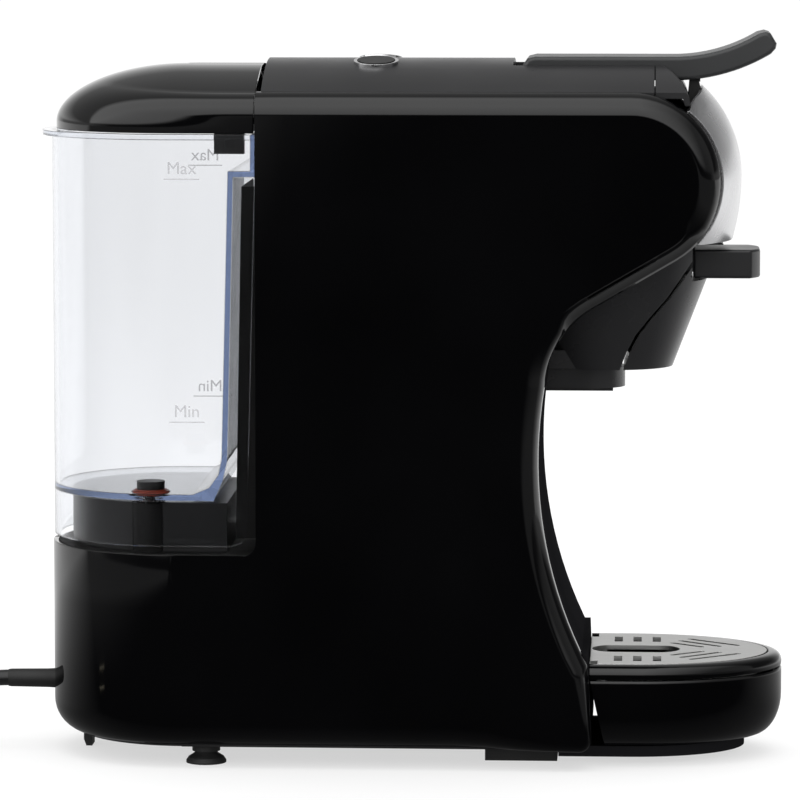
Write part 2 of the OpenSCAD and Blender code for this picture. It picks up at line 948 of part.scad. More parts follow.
module drip_grid() {
    thick = 2;
    color([0.72, 0.71, 0.7])
    translate([0, 0, grid_top - thick]) linear_extrude(height = thick)
        difference() {
            polygon(oval(tray_half - 6, tray_front - 6.5, -77.3));
            // cut corners at the back
            for (s = [-1, 1]) translate([s * 40, -77]) square([14, 7], center = true);
            // long eye under the outlet
            polygon(concat(
                [for (t = [0:10:180]) [9.7 * cos(t), -87.5 + 9.7 * sin(t)]],
                [for (t = [180:10:360]) [9.7 * cos(t), -106.2 + 9.7 * sin(t)]]
            ));
            // two rows of three windows
            for (s = [-1, 1]) for (y = [-89.2, -97.5, -105.9])
                translate([s * 26.7, y]) square([14, 3.6], center = true);
            // three slanted slots on each side
            for (s = [-1, 1]) {
                slot([s * 16.6, -112.7], [s * 6.4, -125.4]);
                slot([s * 22.8, -116.6], [s * 8.4, -133]);
                slot([s * 28, -120.6], [s * 11.4, -141]);
            }
        }
}

// Straight slot with round ends from a to b
module slot(a, b) {
    r = 1.2;
    turn = atan2(b[1] - a[1], b[0] - a[0]);
    polygon(concat(
        [for (t = [90:20:270]) a + r * [cos(turn + t), sin(turn + t)]],
        [for (t = [-90:20:90]) b + r * [cos(turn + t), sin(turn + t)]]
    ));
}

module tray_plinth() {
    // ledge of the base that the tray stands on
    color([0.04, 0.04, 0.04])
    translate([0, 0, 3.2]) linear_extrude(height = tray_z0 - 0.3 - 3.2)
        intersection() {
            polygon(concat(
                [[38, -62]],
                [for (t = [0:6:180]) [38 * cos(t), -94 - 50 * sin(t)]],
                [[-38, -62]]
            ));
            translate([-100, -200]) square([200, 136]);
        }
}

// ---------- feet ----------

module front_pad() {
    color([0.05, 0.05, 0.05]) {
        translate([-32, -63.4, 0]) cube([64, 31, 3.1]);
        translate([-32, -63.4, 3.1]) cube([64, 31, body_under - 3.15]);
    }
}

module suction_feet() {
    color([0.04, 0.04, 0.04])
    for (s = [-1, 1]) translate([s * 41, 86.8, 0]) rotate_extrude()
        difference() {
            union() {
                polygon([[0, 0.8], [8.6, 0], [8.6, 0.9], [7.6, 2.4], [5.4, 3.8], [4.6, 4.6], [4.6, 5.2], [0, 5.2]]);
                translate([0, 5.1]) square([6, body_under - 5.2]);
            }
            polygon([[0, -1], [8.4, -1], [8.2, 0], [0, 2.2]]);
        }
}

module rear_foot() {
    color([0.04, 0.04, 0.04])
    translate([-5, 140.2, 0]) difference() {
        cube([10, 3.6, body_under - 0.1]);
        translate([-1, 2.2, -1]) rotate([-20, 0, 0]) cube([12, 6, 8]);
    }
}

// ---------- power cord ----------

module cord_gland() {
    color([0.04, 0.04, 0.04])
    translate([0, 0, cord_z]) rotate([-90, 0, 0]) {
        difference() {
            union() {
                translate([0, 0, 149]) cylinder(d = 12.8, h = 7.4);
                translate([0, 0, 148]) cylinder(d = 16, h = 2);
                translate([0, 0, cord_y]) cylinder(d1 = 10.6, d2 = 8, h = gland_l);
            }
            translate([0, 0, 140]) cylinder(d = cord_d, h = 60);
        }
    }
}

// Sweep of a round section along a list of points
module tube_along(pts, d, sides = 10) {
    n = len(pts);
    function dir(i) =
        let (a = pts[max(i - 1, 0)], b = pts[min(i + 1, n - 1)])
        (b - a) / norm(b - a);
    rings = [for (i = [0:n - 1])
        let (t = dir(i), u = cross(t, [0, 0, 1]) / norm(cross(t, [0, 0, 1])), v = cross(u, t))
        [for (k = [0:sides - 1]) pts[i] + d / 2 * (cos(360 * k / sides) * u + sin(360 * k / sides) * v)]
    ];
    polyhedron(
        points = [for (r = rings) for (p = r) p],
        faces = concat(
            [[for (k = [0:sides - 1]) k]],
            [for (i = [0:n - 2]) for (k = [0:sides - 1])
                [i * sides + k, (i + 1) * sides + k, (i + 1) * sides + (k + 1) % sides, i * sides + (k + 1) % sides]],
            [[for (k = [sides - 1:-1:0]) (n - 1) * sides + k]]
        )
    );
}

module power_cord() {
    color([0.02, 0.02, 0.02]) {
        tube_along(cord_route, cord_d);
        tube_along(plug_route, cord_d);
    }
}

module cord_coil() {
    // outer shape of the wound length, lying on the surface
    color([0.02, 0.02, 0.02])
    translate([coil_x, coil_y, 0]) rotate_extrude()
        translate([coil_inner, 0]) square([coil_outer - coil_inner, coil_h]);
}

module plug_body() {
    color([0.03, 0.03, 0.03])
    translate([-52, plug_y, plug_z]) rotate([0, -90, 0]) {
        // tapered neck and round grip, lying on the surface beside the coil
        cylinder(d1 = 8.6, d2 = 11, h = 12);
        translate([0, 0, 12]) cylinder(d1 = 13.6, d2 = 15.4, h = 20);
    }
}

module plug_pins() {
    color([0.7, 0.65, 0.45])
    translate([-84, plug_y, plug_z])
        for (s = [-1, 1])
            translate([0, 0, s * 5]) rotate([0, -90, 0]) cylinder(d = 3.6, h = 17);
}

left_side_shell();
right_side_shell();
top_cover();
front_corner();
nose_cover();
column_front();
rear_wall();
base_deck();
tank_dock();
dock_inlet();
base_plate();
frame_posts();
base_screws();
head_underside();
brew_head_rear();
brew_head_front();
piston_guide();
spout();
piston();
needle_seal();
holder_handle();
holder_basket();
lever();
lever_leg();
lever_pin();
button_left();
button_right();
button_rings();
tank();
tank_valve();
valve_seal();
tank_lid();
lid_clip();
drip_tray();
tray_rim();
drip_grid();
tray_plinth();
front_pad();
suction_feet();
rear_foot();
cord_gland();
power_cord();
cord_coil();
plug_body();
plug_pins();
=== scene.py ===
"""Pod coffee machine: camera, cord, detailed pieces, materials and lights.

Lengths of the machine are millimetres in the CAD frame and are turned into
metres when a mesh is made. The camera, the floor, the lamp and the relief of
the materials are given in metres.
"""
import math

import bmesh
import bpy
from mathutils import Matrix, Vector


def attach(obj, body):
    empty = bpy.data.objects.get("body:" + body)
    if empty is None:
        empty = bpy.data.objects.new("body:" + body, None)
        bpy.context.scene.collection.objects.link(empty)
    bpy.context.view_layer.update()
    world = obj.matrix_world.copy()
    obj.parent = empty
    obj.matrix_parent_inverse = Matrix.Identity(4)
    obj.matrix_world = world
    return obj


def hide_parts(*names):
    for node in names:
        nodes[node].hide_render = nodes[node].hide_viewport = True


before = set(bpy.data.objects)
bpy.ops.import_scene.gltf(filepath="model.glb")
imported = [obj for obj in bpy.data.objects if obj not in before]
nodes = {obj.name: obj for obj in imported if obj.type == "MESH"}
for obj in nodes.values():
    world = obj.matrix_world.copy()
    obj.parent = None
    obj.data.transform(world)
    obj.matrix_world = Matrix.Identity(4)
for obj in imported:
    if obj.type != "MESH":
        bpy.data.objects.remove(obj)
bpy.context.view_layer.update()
MM = 0.001


# ---------------------------------------------------------------- small tools

def sind(a):
    return math.sin(math.radians(a))


def cosd(a):
    return math.cos(math.radians(a))


def smooth(t):
    """Soft step from 0 to 1."""
    t = max(0.0, min(1.0, t))
    return t * t * (3 - 2 * t)


def lerp(a, b, t):
    return a + (b - a) * t


def steps(a, b, n):
    """n + 1 evenly spaced values from a to b."""
    return [a + (b - a) * i / n for i in range(n + 1)]


# --------------------------------------------------------------------- camera

CAMERA_AT = (-2.036, -0.1009, 0.3663)
AIM_AT = (0, 0.0058, 0.152)
LENS = 213

camera_data = bpy.data.cameras.new("camera")
camera = bpy.data.objects.new("camera", camera_data)
bpy.context.scene.collection.objects.link(camera)
bpy.context.scene.camera = camera
camera_data.sensor_width = 36
camera_data.lens = LENS
camera_data.clip_end = 50
camera.location = CAMERA_AT
aim = Vector(AIM_AT)
camera.rotation_mode = "QUATERNION"
camera.rotation_quaternion = (aim - camera.location).to_track_quat("-Z", "Y")


# ------------------------------------------------------------------ materials

def new_material(name):
    material = bpy.data.materials.new(name)
    material.use_nodes = True
    tree = material.node_tree
    tree.nodes.clear()
    output = tree.nodes.new("ShaderNodeOutputMaterial")
    shader = tree.nodes.new("ShaderNodeBsdfPrincipled")
    tree.links.new(shader.outputs["BSDF"], output.inputs["Surface"])
    return material, tree, shader


def noise(tree, scale, detail=3.0, stretch=(1, 1, 1), seed=0.0):
    """Noise in object space; stretch squeezes it along an axis."""
    place = tree.nodes.new("ShaderNodeTexCoord")
    mapping = tree.nodes.new("ShaderNodeMapping")
    mapping.inputs["Scale"].default_value = stretch
    mapping.inputs["Location"].default_value = (seed, seed * 0.7, seed * 0.3)
    grain = tree.nodes.new("ShaderNodeTexNoise")
    grain.inputs["Scale"].default_value = scale
    grain.inputs["Detail"].default_value = detail
    tree.links.new(place.outputs["Object"], mapping.inputs["Vector"])
    tree.links.new(mapping.outputs["Vector"], grain.inputs["Vector"])
    return grain.outputs["Fac"]


def spread(tree, source, low, high):
    """Noise between 0.3 and 0.7 becomes a value between low and high."""
    node = tree.nodes.new("ShaderNodeMapRange")
    node.inputs["From Min"].default_value = 0.3
    node.inputs["From Max"].default_value = 0.7
    node.inputs["To Min"].default_value = low
    node.inputs["To Max"].default_value = high
    tree.links.new(source, node.inputs["Value"])
    return node.outputs["Result"]


def two_tone(tree, source, dark, light):
    node = tree.nodes.new("ShaderNodeMix")
    node.data_type = "RGBA"
    node.inputs["A"].default_value = (*dark, 1)
    node.inputs["B"].default_value = (*light, 1)
    tree.links.new(spread(tree, source, 0, 1), node.inputs["Factor"])
    return node.outputs["Result"]


def relief(tree, shader, source, distance, edge):
    """Fine surface relief on top of softly rounded edges."""
    bump = tree.nodes.new("ShaderNodeBump")
    bump.inputs["Strength"].default_value = 0.5
    bump.inputs["Distance"].default_value = distance
    tree.links.new(source, bump.inputs["Height"])
    if edge > 0:
        bevel = tree.nodes.new("ShaderNodeBevel")
        bevel.samples = 4
        bevel.inputs["Radius"].default_value = edge
        tree.links.new(bevel.outputs["Normal"], bump.inputs["Normal"])
    tree.links.new(bump.outputs["Normal"], shader.inputs["Normal"])


def plastic(name, dark, light, rough, grain=900, height=0.00001, edge=0.0005, metal=0.0, level=0.5,
            alpha=1.0):
    """Moulded plastic: faint tone and gloss changes and a fine grain."""
    material, tree, shader = new_material(name)
    shader.inputs["Metallic"].default_value = metal
    shader.inputs["Specular IOR Level"].default_value = level
    shader.inputs["Alpha"].default_value = alpha
    broad = noise(tree, 14, 2.0)
    tree.links.new(two_tone(tree, broad, dark, light), shader.inputs["Base Color"])
    cloud = noise(tree, 45, 4.0, seed=3.1)
    tree.links.new(spread(tree, cloud, rough[0], rough[1]), shader.inputs["Roughness"])
    relief(tree, shader, noise(tree, grain, 2.0, seed=1.7), height, edge)
    return material


def brushed(name, dark, light, rough, stretch, edge=0.0003):
    """Brushed metal with long fine scratches along one axis."""
    material, tree, shader = new_material(name)
    shader.inputs["Metallic"].default_value = 1.0
    lines = noise(tree, 500, 3.0, stretch)
    tree.links.new(two_tone(tree, lines, dark, light), shader.inputs["Base Color"])
    tree.links.new(spread(tree, lines, rough[0], rough[1]), shader.inputs["Roughness"])
    relief(tree, shader, lines, 0.00001, edge)
    return material


def clear(name, tint, rough, ior, edge, depth, depth_tint):
    """Clear moulded plastic with faint flow lines; depth tints long ways through it."""
    material, tree, shader = new_material(name)
    shader.inputs["Transmission Weight"].default_value = 1.0
    shader.inputs["IOR"].default_value = ior
    flow = noise(tree, 30, 2.0, (1, 1, 0.25))
    pale = tuple(min(1.0, c * 1.03) for c in tint)
    tree.links.new(two_tone(tree, flow, tint, pale), shader.inputs["Base Color"])
    tree.links.new(spread(tree, flow, rough[0], rough[1]), shader.inputs["Roughness"])
    relief(tree, shader, flow, 0.00004, edge)
    body = tree.nodes.new("ShaderNodeVolumeAbsorption")
    body.inputs["Color"].default_value = (*depth_tint, 1)
    body.inputs["Density"].default_value = depth
    output = next(n for n in tree.nodes if n.type == "OUTPUT_MATERIAL")
    tree.links.new(body.outputs["Volume"], output.inputs["Volume"])
    return material


gloss_black = plastic("gloss_black", (0.0010, 0.0010, 0.0012), (0.0018, 0.0018, 0.0021), (0.03, 0.07),
                      grain=60, height=0.00001)
satin_black = plastic("satin_black", (0.010, 0.010, 0.011), (0.016, 0.016, 0.017), (0.30, 0.38))
head_black = plastic("head_black", (0.015, 0.015, 0.016), (0.021, 0.021, 0.022), (0.22, 0.30))
top_dark = plastic("top_dark", (0.014, 0.014, 0.015), (0.020, 0.020, 0.021), (0.30, 0.36), level=0.4)
lever_dark = plastic("lever_dark", (0.022, 0.023, 0.024), (0.030, 0.031, 0.032), (0.34, 0.42))
leg_black = plastic("leg_black", (0.008, 0.008, 0.008), (0.012, 0.012, 0.012), (0.40, 0.50))
silver = plastic("silver_cover", (0.60, 0.60, 0.61), (0.64, 0.64, 0.65), (0.22, 0.28),
                 grain=2200, height=0.000003, metal=0.9)
rubber = plastic("rubber_black", (0.008, 0.008, 0.008), (0.014, 0.014, 0.014), (0.55, 0.7), grain=1500)
cord_black = plastic("cord_black", (0.008, 0.008, 0.009), (0.012, 0.012, 0.013), (0.28, 0.38), edge=0)
seal_red = plastic("seal_red", (0.28, 0.035, 0.015), (0.36, 0.05, 0.02), (0.35, 0.45))
inner_dark = plastic("inner_dark", (0.006, 0.006, 0.006), (0.010, 0.010, 0.010), (0.45, 0.6), level=0.2)
column_black = plastic("column_black", (0.009, 0.009, 0.010), (0.013, 0.013, 0.014), (0.45, 0.55),
                       level=0.0)
mark_clear = plastic("mark_clear", (0.36, 0.36, 0.38), (0.42, 0.42, 0.44), (0.3, 0.4), edge=0, alpha=0.3)
steel_grid = brushed("steel_grid", (0.52, 0.52, 0.51), (0.66, 0.66, 0.65), (0.30, 0.42), (1, 0.04, 1))
steel_small = brushed("steel_small", (0.5, 0.5, 0.5), (0.62, 0.62, 0.62), (0.25, 0.35), (1, 1, 0.1))
chrome = brushed("chrome_ring", (0.75, 0.75, 0.76), (0.85, 0.85, 0.86), (0.06, 0.12), (1, 1, 1))
contact = brushed("contact_metal", (0.62, 0.56, 0.42), (0.72, 0.66, 0.50), (0.22, 0.32), (1, 1, 1))
clear_tank = clear("clear_tank", (0.945, 0.947, 0.953), (0.0, 0.02), 1.42, 0.0007,
                   depth=32, depth_tint=(0.50, 0.58, 0.73))

BY_NODE = {
    gloss_black: ["left_side_shell", "right_side_shell", "tank_lid", "drip_tray", "tray_rim"],
    column_black: ["column_front", "head_underside", "tray_plinth"],
    satin_black: ["base_plate", "tank_dock", "holder_handle"],
    head_black: ["brew_head_rear", "brew_head_front", "spout", "piston_guide"],
    inner_dark: ["rear_wall", "base_deck", "dock_inlet", "frame_posts", "piston", "holder_basket"],
    top_dark: ["top_cover", "front_corner"],
    lever_dark: ["lever"],
    leg_black: ["lever_leg", "lid_clip", "button_left", "button_right", "tank_valve"],
    silver: ["nose_cover"],
    rubber: ["front_pad", "suction_feet", "rear_foot", "cord_gland"],
    seal_red: ["valve_seal", "needle_seal"],
    steel_small: ["base_screws", "lever_pin"],
    chrome: ["button_rings"],
    steel_grid: ["drip_grid"],
    clear_tank: ["tank"],
    cord_black: ["power_cord", "cord_coil", "plug_body"],
    contact: ["plug_pins"],
}
for material, names in BY_NODE.items():
    for name in names:
        for slot in nodes[name].material_slots:
            slot.material = material


# ----------------------------------------------------------------- mesh tools

def add_piece(name, verts, faces, body, material, replaces=(), angle=35):
    """A mesh from millimetre points, riding on a CAD body."""
    mesh = bpy.data.meshes.new(name)
    mesh.from_pydata([Vector(v) * MM for v in verts], [], faces)
    build = bmesh.new()
    build.from_mesh(mesh)
    bmesh.ops.remove_doubles(build, verts=build.verts, dist=0.00001)
    bmesh.ops.dissolve_degenerate(build, edges=build.edges, dist=0.000005)
    bmesh.ops.recalc_face_normals(build, faces=build.faces)
    build.to_mesh(mesh)
    build.free()
    mesh.shade_smooth()
    mesh.set_sharp_from_angle(angle=math.radians(angle))
    mesh.materials.append(material)
    piece = bpy.data.objects.new(name, mesh)
    bpy.context.scene.collection.objects.link(piece)
    if replaces:
        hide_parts(*replaces)
    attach(piece, body)
    return piece


def round_edges(piece, width, segments=3, angle=40):
    """Real rounded edges, kept as a modifier."""
    bevel = piece.modifiers.new("edges", "BEVEL")
    bevel.width = width * MM
    bevel.segments = segments
    bevel.limit_method = "ANGLE"
    bevel.angle_limit = math.radians(angle)
    bevel.harden_normals = True
    return piece


def thicken(piece, thickness):
    """Gives a skin its wall on the inner side."""
    solid = piece.modifiers.new("wall", "SOLIDIFY")
    solid.thickness = thickness * MM
    solid.offset = -1
    return piece


def loft(rings, close_rings=True, close_path=False, cap_start=False, cap_end=False):
    """Points and faces that join equal rings of points one after another."""
    count = len(rings[0])
    verts = [p for ring in rings for p in ring]
    faces = []
    last = len(rings) if close_path else len(rings) - 1
    span = count if close_rings else count - 1
    for i in range(last):
        j = (i + 1) % len(rings)
        for k in range(span):
            n = (k + 1) % count
            faces.append((i * count + k, i * count + n, j * count + n, j * count + k))
    if cap_start:
        faces.append(tuple(range(count))[::-1])
    if cap_end:
        start = (len(rings) - 1) * count
        faces.append(tuple(start + k for k in range(count)))
    return verts, faces


def join_parts(*parts):
    """Several (points, faces) pairs as one."""
    verts, faces = [], []
    for part_verts, part_faces in parts:
        base = len(verts)
        verts += list(part_verts)
        faces += [tuple(base + i for i in face) for face in part_faces]
    return verts, faces


def prism_x(outline, x0, x1):
    """A (y, z) outline pulled out along X."""
    rings = [[(x, y, z) for y, z in outline] for x in (x0, x1)]
    return loft(rings, cap_start=True, cap_end=True)


def prism_z(outline, z0, z1):
    """An (x, y) outline pulled up along Z."""
    rings = [[(x, y, z) for x, y in outline] for z in (z0, z1)]
    return loft(rings, cap_start=True, cap_end=True)


# ----------------------------------------------------------------------- cord

CORD_D = 7
CORD_EXIT = (0, 156.2, 29)
COIL = (-44, 240)
# route from the machine to the coil, as in the CAD
ROUTE_IN = [
    (0, 156.2, 29), (0, 166, 29), (0, 177.5, 29), (0, 184, 28.5), (0, 192, 26.5), (0, 200, 23),
    (0, 208, 18.5), (0, 216, 14.5), (0, 224, 12), (-0.5, 232, 11),
]
# route from the coil to the plug, as in the CAD
ROUTE_OUT = [
    (-18, 274.6, 4.2), (-24.6, 282.4, 5), (-30, 287.4, 6), (-36.5, 291.4, 7), (-44, 293.6, 7.7),
    (-52, 294, 7.8), (-60, 294, 7.8),
]
OUTER_R, INNER_R, LOW_Z, HIGH_Z = 42.2, 35.0, 3.6, 10.7


def coil_point(turn):
    """A point of the coil; turn is the angle travelled in degrees."""
    inward = smooth((turn - 274) / 40)
    outward = smooth((turn - 790) / 40)
    radius = lerp(lerp(OUTER_R, INNER_R, inward), OUTER_R, outward)
    height = lerp(HIGH_Z, LOW_Z, smooth((turn - 440) / 60))
    return (COIL[0] + radius * cosd(turn), COIL[1] + radius * sind(turn), height)


coil_turns = [coil_point(4 + 10 * i) for i in range(112)]
route = ROUTE_IN + coil_turns + ROUTE_OUT


def curve_piece(name, points, width, material, body):
    """A round lead through the given points."""
    curve = bpy.data.curves.new(name, "CURVE")
    curve.dimensions = "3D"
    curve.bevel_depth = width / 2 * MM
    curve.bevel_resolution = 6
    curve.use_fill_caps = True
    curve.resolution_u = 5
    line = curve.splines.new("BEZIER")
    line.bezier_points.add(len(points) - 1)
    for knot, p in zip(line.bezier_points, points):
        knot.co = Vector(p) * MM
        knot.handle_left_type = "AUTO"
        knot.handle_right_type = "AUTO"
    curve.materials.append(material)
    piece = bpy.data.objects.new(name, curve)
    bpy.context.scene.collection.objects.link(piece)
    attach(piece, body)
    return piece


power_lead = curve_piece("power_lead", route, CORD_D, cord_black, "housing")
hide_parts("power_cord", "cord_coil")


def turned_rings(profile, centre, axis="x", count=40):
    """Rings of a shape turned round a line along X or Y."""
    rings = []
    for along, radius in profile:
        ring = []
        for i in range(count):
            a = 360 * i / count
            if axis == "x":
                ring.append((along, centre[0] + radius * cosd(a), centre[1] + radius * sind(a)))
            else:
                ring.append((centre[0] + radius * cosd(a), along, centre[1] + radius * sind(a)))
        rings.append(ring)
    return rings


# plug: ribbed neck, round grip with a soft nose
PLUG_AXIS = (294, 7.8)
PLUG_PROFILE = [
    (-52.0, 3.6), (-52.0, 4.2), (-53, 4.7), (-55, 4.8), (-55.4, 4.2), (-56.8, 4.3), (-57.2, 5.0),
    (-59, 5.1), (-59.4, 4.5), (-60.8, 4.6), (-61.2, 5.3), (-63.4, 5.5), (-64.4, 6.4),
    (-66, 6.9), (-72, 7.2), (-80, 7.6), (-82.6, 7.6), (-83.6, 7.2), (-84, 6.4),
]
plug_verts, plug_faces = loft(turned_rings(PLUG_PROFILE, PLUG_AXIS), cap_start=True, cap_end=True)
plug = add_piece("plug_grip", plug_verts, plug_faces, "housing", cord_black,
                 ("plug_body",))

# smooth sleeve round the lead where it leaves the machine
GLAND_AXIS = (CORD_EXIT[0], CORD_EXIT[2])
GLAND_PROFILE = [
    (150.4, 3.6), (150.4, 5.6), (155.4, 5.6), (155.8, 4.3), (160, 4.1), (176, 3.9), (177.2, 3.7),
]
gland_verts, gland_faces = loft(turned_rings(GLAND_PROFILE, GLAND_AXIS, "y"), cap_start=True,
                                cap_end=True)
gland = add_piece("strain_relief", gland_verts, gland_faces, "housing", rubber,
                  ("cord_gland",))

# the wound lead lies outside the view, so the gloss doesn't mirror it
power_lead.visible_glossy = False
plug.visible_glossy = False


# ---------------------------------------------------------------- side shells

HALF = 59.0
SEAM = 50.6
SLANT = 30.2
# arcs of the side panel's outline: centre y, centre z and radius
BULGE = (-93.8, 249.5, 38.0)
INNER = (-98.0, 161.6, 40.0)
HOLLOW = (-245.4, 132.0, 190.0)
REAR_Y = 97.5
BACK_EDGE = 63.8
DECK = 91.3
DECK_CORNER = 6
SHELL_FOOT = 8
TOP_ROUND = 10
FRONT_ROUND = 9
TOE_ROUND = 4
FOOT_ROUND = 14
FACET_CUT = 3.7
FACET_ROUND = TOP_ROUND - FACET_CUT
SHELL_WALL = 2.2
# front of the foot: where it stands at the floor and at the column, and its rounded corner
FOOT_FRONT = (-78.1, -76.7)
TOE = (-73.1, 13, 5)
# the two halves of the round back stop this far from the middle
MIDDLE_GAP = 0.12


def shell_stations():
    """Points round the side panel with outward normals, edge radius, edge kind and slit.

    Kind 0 is a round edge and kind 1 is the flat facet along the slanted edge.
    Slit 1 is the thin vent that runs along the top of that facet.
    """
    found = []
    for y in steps(BACK_EDGE, BULGE[0] + 1, 12):
        found.append((y, BULGE[1] + BULGE[2], 0, 1, TOP_ROUND, 0, 0))
    for a in steps(90, 270 - SLANT, 26):
        kind = smooth((a - 212) / 14)
        place = (BULGE[0] + BULGE[2] * cosd(a), BULGE[1] + BULGE[2] * sind(a))
        found.append((*place, cosd(a), sind(a), TOP_ROUND - FACET_CUT * kind, kind, 0))
    touch = (INNER[0] + INNER[2] * sind(SLANT), INNER[1] + INNER[2] * cosd(SLANT))
    leave = (found[-1][0], found[-1][1])
    vent = ((0.14, 0), (0.3, 0.35), (0.5, 1), (0.7, 1), (0.85, 1), (0.97, 1), (0.985, 0))
    for t, slit in vent:
        place = (lerp(leave[0], touch[0], t), lerp(leave[1], touch[1], t))
        found.append((*place, -sind(SLANT), -cosd(SLANT), FACET_ROUND, 1, slit))
    for a in steps(90 - SLANT, 3, 14):
        kind = smooth((a - 34) / 16)
        place = (INNER[0] + INNER[2] * cosd(a), INNER[1] + INNER[2] * sind(a))
        found.append((*place, -cosd(a), -sind(a), lerp(FRONT_ROUND, FACET_ROUND, kind), kind, 0))
    for a in steps(9.3, -27.2, 18):
        place = (HOLLOW[0] + HOLLOW[2] * cosd(a), HOLLOW[1] + HOLLOW[2] * sind(a))
        found.append((*place, -cosd(a), -sind(a), FRONT_ROUND, 0, 0))
    for z in (40, 32, 24, 18):
        y = lerp(FOOT_FRONT[0], FOOT_FRONT[1], (z - SHELL_FOOT) / 37)
        found.append((y, z, -1, 0, lerp(TOE_ROUND, FRONT_ROUND, (z - 18) / 27), 0, 0))
    for a in steps(180, 270, 6):
        place = (TOE[0] + TOE[2] * cosd(a), TOE[1] + TOE[2] * sind(a))
        found.append((*place, cosd(a), sind(a), TOE_ROUND, 0, 0))
    for y in steps(-60, REAR_Y, 12):
        found.append((y, SHELL_FOOT, 0, -1, lerp(TOE_ROUND, FOOT_ROUND, smooth((y + 70) / 50)), 0, 0))
    return found


def edge_profile(radius, kind, slit=0, count=9):
    """Inset and depth from the flat side to the seam, round or faceted."""
    reach = HALF - SEAM
    stop = math.degrees(math.acos(max(0.0, 1 - reach / radius)))
    round_part = [(radius * (1 - sind(t)), radius * (1 - cosd(t))) for t in steps(0, stop, count - 1)]
    round_part.append((round_part[-1][0], reach))
    sink = 2.5 * slit
    drops = [0, 0.4, 0.6, 0.75, 0.8 + sink, 1.9 + sink, 2.0, 4.2, 7.4, reach]
    slides = [radius * part for part in (1, 0.985, 0.95, 0.93, 0.92, 0.73, 0.72, 0.5, 0.15, 0)]
    return [(lerp(u, u2, kind), lerp(w, w2, kind)) for (u, w), u2, w2 in zip(round_part, slides, drops)]


def side_shell(name, side, replaced):
    """Outer skin of one side: flat panel, edge strips and half of the round back."""
    stations = shell_stations()
    rows = []
    for y, z, ny, nz, radius, kind, slit in stations:
        profile = edge_profile(radius, kind, slit)
        rows.append([(side * (HALF - w), y - ny * u, z - nz * u) for u, w in profile])
    for a in steps(0, 90, 24)[1:]:
        least = MIDDLE_GAP if a == 90 else 0
        row = []
        for u, w in edge_profile(FOOT_ROUND, 0):
            radius = HALF - w
            x = max(radius * cosd(a), least)
            row.append((side * x, REAR_Y + radius * sind(a), SHELL_FOOT + u))
        rows.append(row)
    strip_verts, strip_faces = loft(rows, close_rings=False)
    # flat panel
    flat = [(row[0][1], row[0][2]) for row in rows[:len(stations)]]
    flat.append((REAR_Y, DECK))
    for t in steps(0, 90, 6):
        y = BACK_EDGE + DECK_CORNER - DECK_CORNER * sind(t)
        flat.append((y, DECK + DECK_CORNER - DECK_CORNER * cosd(t)))
    panel = ([(side * HALF, y, z) for y, z in flat], [tuple(range(len(flat)))])
    # round back above its lower edge
    wall_foot = SHELL_FOOT + FOOT_ROUND
    wall_rows = []
    for a in steps(0, 90, 24):
        x = max(HALF * cosd(a), MIDDLE_GAP)
        y = REAR_Y + HALF * sind(a)
        wall_rows.append([(side * x, y, z) for z in (wall_foot, 45, 68, DECK)])
    back = loft(wall_rows, close_rings=False)
    verts, faces = join_parts((strip_verts, strip_faces), panel, back)
    shell = add_piece(name, verts, faces, "housing", gloss_black, (replaced,), angle=30)
    # the panel's normal has to face outward for the wall to grow inward
    build = bmesh.new()
    build.from_mesh(shell.data)
    build.faces.ensure_lookup_table()
    largest = max(build.faces, key=lambda f: f.calc_area())
    if largest.normal.x * side < 0:
        bmesh.ops.reverse_faces(build, faces=build.faces)
    build.to_mesh(shell.data)
    build.free()
    thicken(shell, SHELL_WALL)
    weigh = shell.modifiers.new("normals", "WEIGHTED_NORMAL")
    weigh.keep_sharp = True
    return shell


side_shell("shell_left", -1, "left_side_shell")
side_shell("shell_right", 1, "right_side_shell")


# ----------------------------------------------------------------- nose cover

NOSE_HALF = 49.7
NOSE_LOW = 223.2
NOSE_HIGH = 288.8
NOSE_MIDDLE = 250
NOSE_REACH = 130
NOSE_UPPER_R = 52
NOSE_LOWER_R = 100
NOSE_BACK = -11
NOSE_WALL = 1.8
NOSE_GAP = 0.9


def nose_front(z):
    """Front of the nose on the middle line, at height z."""
    radius = NOSE_UPPER_R if z > NOSE_MIDDLE else NOSE_LOWER_R
    bow = NOSE_REACH - radius + math.sqrt(radius ** 2 - (z - NOSE_MIDDLE) ** 2)
    return NOSE_BACK - bow


def nose_side(z):
    """Edge of the nose beside the shell, at height z."""
    rise = min(z, 284) - BULGE[1]
    return BULGE[0] - math.sqrt(BULGE[2] ** 2 - rise ** 2) - NOSE_GAP


def nose_rows(inset):
    """Rows of points across the nose, from its lower edge to its curved upper edge."""
    half = NOSE_HALF - inset * 0.2
    rows = []
    for t in steps(0, 1, 30):
        row = []
        for x in steps(-half, half, 40):
            z = lerp(NOSE_LOW + inset * 0.3, NOSE_HIGH - x * x / 265 - inset * 0.3, t)
            share = abs(x / NOSE_HALF) ** 2.4
            row.append((x, lerp(nose_front(z), nose_side(z), share) + inset, z))
        rows.append(row)
    return rows


def nose():
    outer = nose_rows(0)
    inner = [row[::-1] for row in nose_rows(NOSE_WALL)]
    return loft([a + b for a, b in zip(outer, inner)], cap_start=True, cap_end=True)


nose_verts, nose_faces = nose()
add_piece("nose_skin", nose_verts, nose_faces, "housing", silver,
          ("nose_cover",), angle=40)


# ----------------------------------------------------------------------- lid

LID_HALF = 57.0
LID_Y = 97.0
LID_FRONT = 64.3
LID_Z = 269.9
LID_TOP = 297.6
LID_RISE = 27.9
LID_SHOULDER = 9.5
LID_CROWN_R = 104
LID_WALL = 2.3


def dome_weight(way):
    """How far the lid has turned into a dome after this way along its rim."""
    return smooth((way - 10) / 112)


